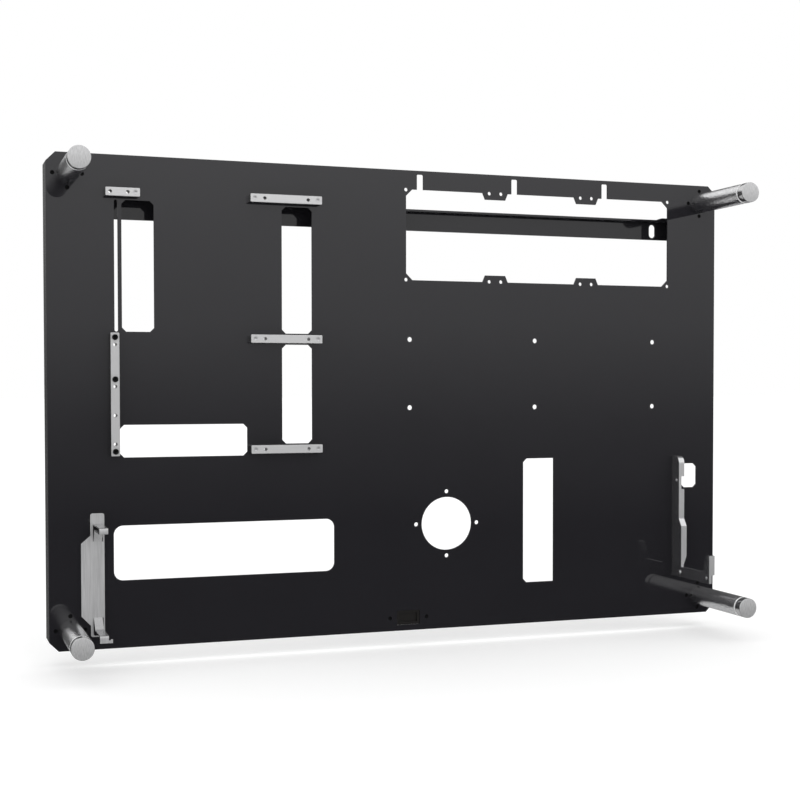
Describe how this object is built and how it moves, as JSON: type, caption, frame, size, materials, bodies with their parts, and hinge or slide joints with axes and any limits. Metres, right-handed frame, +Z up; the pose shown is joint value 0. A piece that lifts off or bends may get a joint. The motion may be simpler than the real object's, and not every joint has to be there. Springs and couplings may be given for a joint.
{
  "type": "wall-mounted computer case",
  "caption": "Open wall-mounted computer case: a flat black back panel with cut-outs, board bars, card and power supply brackets, round front posts and a slotted wall rail.",
  "frame": {"origin": "on the wall, at the back face of the wall rail, midway between its two wall slots", "axes": "+Z up, +Y into the wall, +X to the right for someone who faces the case"},
  "size_m": [0.82, 0.1575, 0.54],
  "materials": {
    "panel_black": "semi-gloss black powder coat",
    "rail_black": "satin black powder coat",
    "bar_aluminium": "satin",
    "card_aluminium": "brushed",
    "supply_aluminium": "satin",
    "post_polished": "polished",
    "cap_brushed": "turned",
    "switch_plastic": "matte",
    "screw_steel": "satin",
    "screw_dark": "dark",
    "screw_black": "black",
    "rubber": "matte"
  },
  "bodies": {
    "root": {"back_panel": "panel_black", "wall_rail": "rail_black", "upper_bracket_left": "rail_black", "upper_bracket_right": "rail_black", "lower_bracket_left": "rail_black", "lower_bracket_right": "rail_black", "wall_pad_left": "rubber", "wall_pad_right": "rubber", "short_board_bar": "bar_aluminium", "upright_board_bar": "bar_aluminium", "upper_board_bar": "bar_aluminium", "middle_board_bar": "bar_aluminium", "lower_board_bar": "bar_aluminium", "card_bracket": "card_aluminium", "supply_bracket": "supply_aluminium", "switch_module": "switch_plastic", "post_base_screws": "screw_dark", "post_bolts": "screw_black", "board_screws_flush": "screw_steel", "board_screws_black": "screw_black", "bar_rear_screws": "screw_black", "card_bracket_screws": "screw_black", "supply_bracket_screws": "screw_black", "switch_screws": "screw_dark", "post_upper_left": "post_polished", "post_cap_upper_left": "cap_brushed", "post_upper_right": "post_polished", "post_cap_upper_right": "cap_brushed", "post_lower_left": "post_polished", "post_cap_lower_left": "cap_brushed", "post_lower_right": "post_polished", "post_cap_lower_right": "cap_brushed"}
  },
  "joints": []
}
